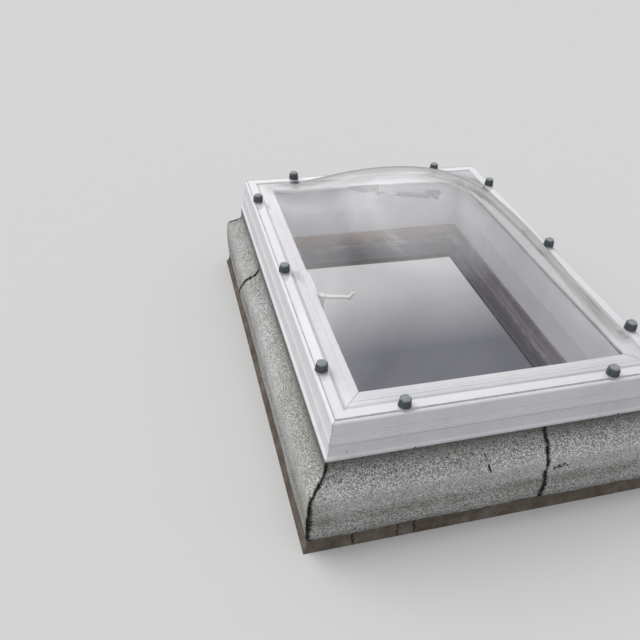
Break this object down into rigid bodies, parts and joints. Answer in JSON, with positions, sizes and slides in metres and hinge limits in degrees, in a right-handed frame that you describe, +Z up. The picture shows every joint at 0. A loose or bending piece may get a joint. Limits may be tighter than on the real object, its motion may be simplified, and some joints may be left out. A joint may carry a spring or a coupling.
{
  "type": "roof skylight",
  "caption": "Opening dome rooflight: a clear double-skin dome on a white hinged sash, with gas spring and handle, on a felt-clad flared kerb.",
  "frame": {"origin": "bottom centre of the kerb, at the level of the roof surface", "axes": "+Z up from the roof, +Y along the long side away from the side nearest the viewer, +X across towards the hinged side"},
  "size_m": [1.002, 1.302, 0.53],
  "materials": {
    "softwood": "sawn, unpainted",
    "lining_red": "stained, matt",
    "lining_dark": "weathered, matt",
    "insulation": "foam board",
    "upstand_white": "moulded, matt",
    "mineral_felt": "mineral chips, rough",
    "weathered_strip": "weathered, cracked",
    "bitumen": "matt",
    "frame_pvc": "satin, weathered",
    "sash_pvc": "satin, weathered",
    "seal_rubber": "matt",
    "dome_tape": "soft foam, off-white",
    "clear_acrylic": "clear, polished",
    "cap_grey": "moulded, satin",
    "screw_steel": "zinc plated",
    "hinge_steel": "powder coated white",
    "pin_steel": "zinc plated",
    "bracket_grey": "zinc grey",
    "tube_grey": "light grey paint",
    "rod_chrome": "polished",
    "handle_white": "satin paint"
  },
  "bodies": {
    "kerb": {"kerb_timber_left": "softwood", "kerb_timber_right": "softwood", "kerb_timber_front": "softwood", "kerb_timber_back": "softwood", "lining_upper_left": "lining_red", "lining_upper_right": "lining_red", "lining_upper_front": "lining_red", "lining_upper_back": "lining_red", "lining_lower_left": "lining_dark", "lining_lower_right": "lining_dark", "lining_lower_front": "lining_dark", "lining_lower_back": "lining_dark", "insulation_left": "insulation", "insulation_right": "insulation", "insulation_front": "insulation", "insulation_back": "insulation", "upstand": "upstand_white", "felt_left_front": "mineral_felt", "felt_left_back": "mineral_felt", "felt_right": "mineral_felt", "felt_front_left": "mineral_felt", "felt_front_right": "mineral_felt", "felt_back": "mineral_felt", "foot_strip_left": "weathered_strip", "foot_strip_right": "weathered_strip", "foot_strip_front": "weathered_strip", "foot_strip_back": "weathered_strip", "lining_eye": "screw_steel", "bitumen_seams": "bitumen", "fixed_frame": "frame_pvc", "frame_gasket": "seal_rubber", "frame_screws": "screw_steel", "hinge_fixed_leaf_front": "hinge_steel", "hinge_pin_front": "pin_steel", "hinge_fixed_leaf_back": "hinge_steel", "hinge_pin_back": "pin_steel", "hinge_screws_fixed": "screw_steel", "spring_fixed_bracket": "bracket_grey", "latch_keeper": "handle_white"},
    "sash": {"sash_frame": "sash_pvc", "dome_gasket": "dome_tape", "dome_inner": "clear_acrylic", "dome_spacer": "dome_tape", "dome_outer": "clear_acrylic", "dome_screws": "screw_steel", "cap_bases": "cap_grey", "screw_caps": "cap_grey", "hinge_sash_leaf_front": "hinge_steel", "hinge_sash_leaf_back": "hinge_steel", "hinge_screws_sash": "screw_steel", "spring_sash_bracket": "bracket_grey", "handle_plate": "handle_white", "handle_screws": "screw_steel"},
    "handle": {"handle_lever": "handle_white", "handle_spindle": "pin_steel"},
    "spring_cylinder": {"spring_tube": "tube_grey", "spring_tube_socket": "bracket_grey"},
    "spring_piston": {"spring_rod": "rod_chrome", "spring_rod_socket": "bracket_grey"}
  },
  "joints": [
    {"name": "sash_hinge", "type": "hinge", "parent": "kerb", "child": "sash", "pos_m": [0.4495, 0, 0.3], "axis": [0, 1, 0], "range_deg": [0, 40]},
    {"name": "handle_turn", "type": "hinge", "parent": "sash", "child": "handle", "pos_m": [-0.332, -0.104, 0.3325], "axis": [0, 0, 1], "range_deg": [0, 90]},
    {"name": "spring_swing", "type": "hinge", "parent": "kerb", "child": "spring_cylinder", "pos_m": [0.245, 0.47, 0.309], "axis": [0, 1, 0], "range_deg": [0, 63.5]},
    {"name": "spring_extend", "type": "slide", "parent": "spring_cylinder", "child": "spring_piston", "axis": [-0.989, 0, 0.1481], "range_m": [0, 0.0875]}
  ],
  "couplings": [
    {"joint": "spring_swing", "follows": "sash_hinge", "ratio": 1.5849},
    {"joint": "spring_extend", "follows": "sash_hinge", "m_per_rad": 0.12524}
  ]
}
